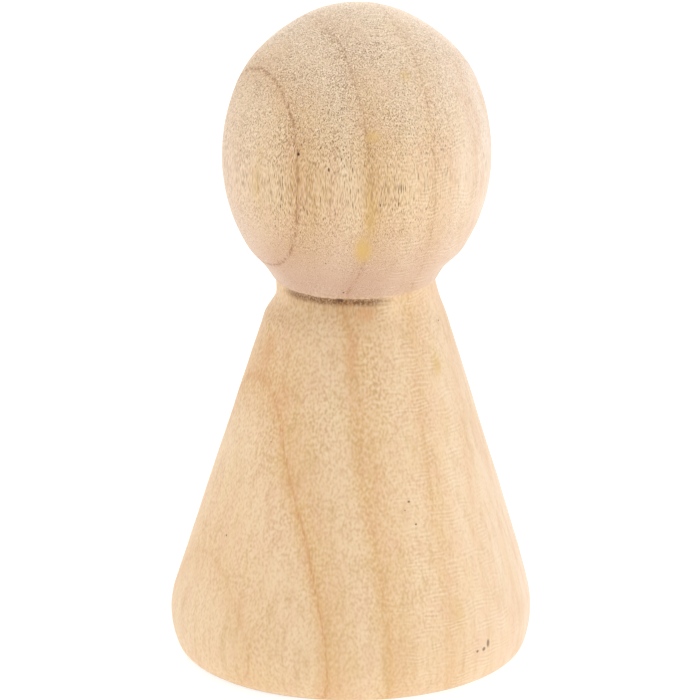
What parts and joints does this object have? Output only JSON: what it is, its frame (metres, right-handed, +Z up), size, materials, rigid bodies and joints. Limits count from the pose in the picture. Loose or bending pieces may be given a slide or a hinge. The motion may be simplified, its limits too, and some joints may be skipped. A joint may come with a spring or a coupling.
{
  "type": "wooden playing figure",
  "caption": "Turned wooden playing figure: an oval head on a plain cone body, with a sharp V cut at the neck, a rounded foot edge and a flat base.",
  "frame": {"origin": "middle of the flat foot, on the surface that the figure stands on", "axes": "+Z up the turning axis, from the foot to the crown of the head; the figure is round, so X and Y are free, and +Y is taken as away from the viewer"},
  "size_m": [0.0328, 0.0328, 0.06],
  "materials": {
    "bare_wood": "bare wood, turned and sanded, without lacquer"
  },
  "bodies": {
    "root": {"turned_figure": "bare_wood"}
  },
  "joints": []
}
